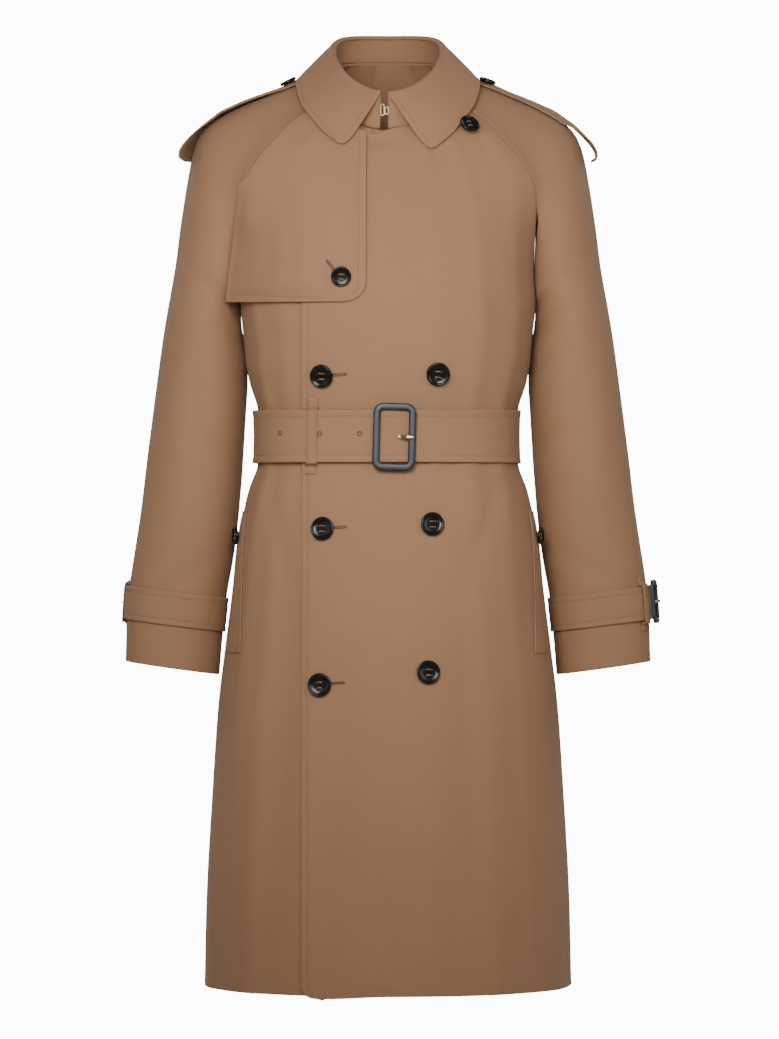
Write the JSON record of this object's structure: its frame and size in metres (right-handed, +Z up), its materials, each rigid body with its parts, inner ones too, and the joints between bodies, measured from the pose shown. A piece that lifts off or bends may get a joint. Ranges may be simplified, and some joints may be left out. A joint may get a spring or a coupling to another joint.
{
  "type": "trench coat",
  "caption": "Long belted double-breasted trench coat in tan gabardine with raglan sleeves, epaulettes, a gun flap and strapped cuffs, filled out as if worn.",
  "frame": {"origin": "in the hollow of the neck, on the level of the collar's front corners, where a hanger or a form holds the coat", "axes": "+X towards the wearer's left, -Y towards the front, +Z up towards the collar"},
  "size_m": [0.6515, 0.3472, 1.1502],
  "materials": {
    "gabardine": "matte",
    "horn": "gloss",
    "leather": "satin",
    "pale_gold": "satin"
  },
  "bodies": {
    "root": {"front_left": "gabardine", "front_right": "gabardine", "back": "gabardine", "sleeve_left_front": "gabardine", "sleeve_left_back": "gabardine", "sleeve_right_front": "gabardine", "sleeve_right_back": "gabardine", "gun_flap": "gabardine", "collar_stand": "gabardine", "collar_leaf": "gabardine", "belt": "gabardine", "belt_loop": "gabardine", "epaulette_left": "gabardine", "epaulette_right": "gabardine", "cuff_strap_left": "gabardine", "cuff_strap_right": "gabardine", "cuff_loop_left": "gabardine", "cuff_loop_right": "gabardine", "pocket_welt_left": "gabardine", "pocket_welt_right": "gabardine", "front_button_1": "horn", "front_button_2": "horn", "front_button_3": "horn", "front_button_4": "horn", "front_button_5": "horn", "front_button_6": "horn", "gun_flap_button": "horn", "throat_button": "horn", "epaulette_button_left": "horn", "epaulette_button_right": "horn", "pocket_button_left": "horn", "pocket_button_right": "horn", "belt_buckle": "leather", "cuff_buckle_left": "leather", "cuff_buckle_right": "leather", "belt_prong": "pale_gold", "cuff_prong_left": "pale_gold", "cuff_prong_right": "pale_gold", "hook": "pale_gold", "eye": "pale_gold"}
  },
  "joints": []
}
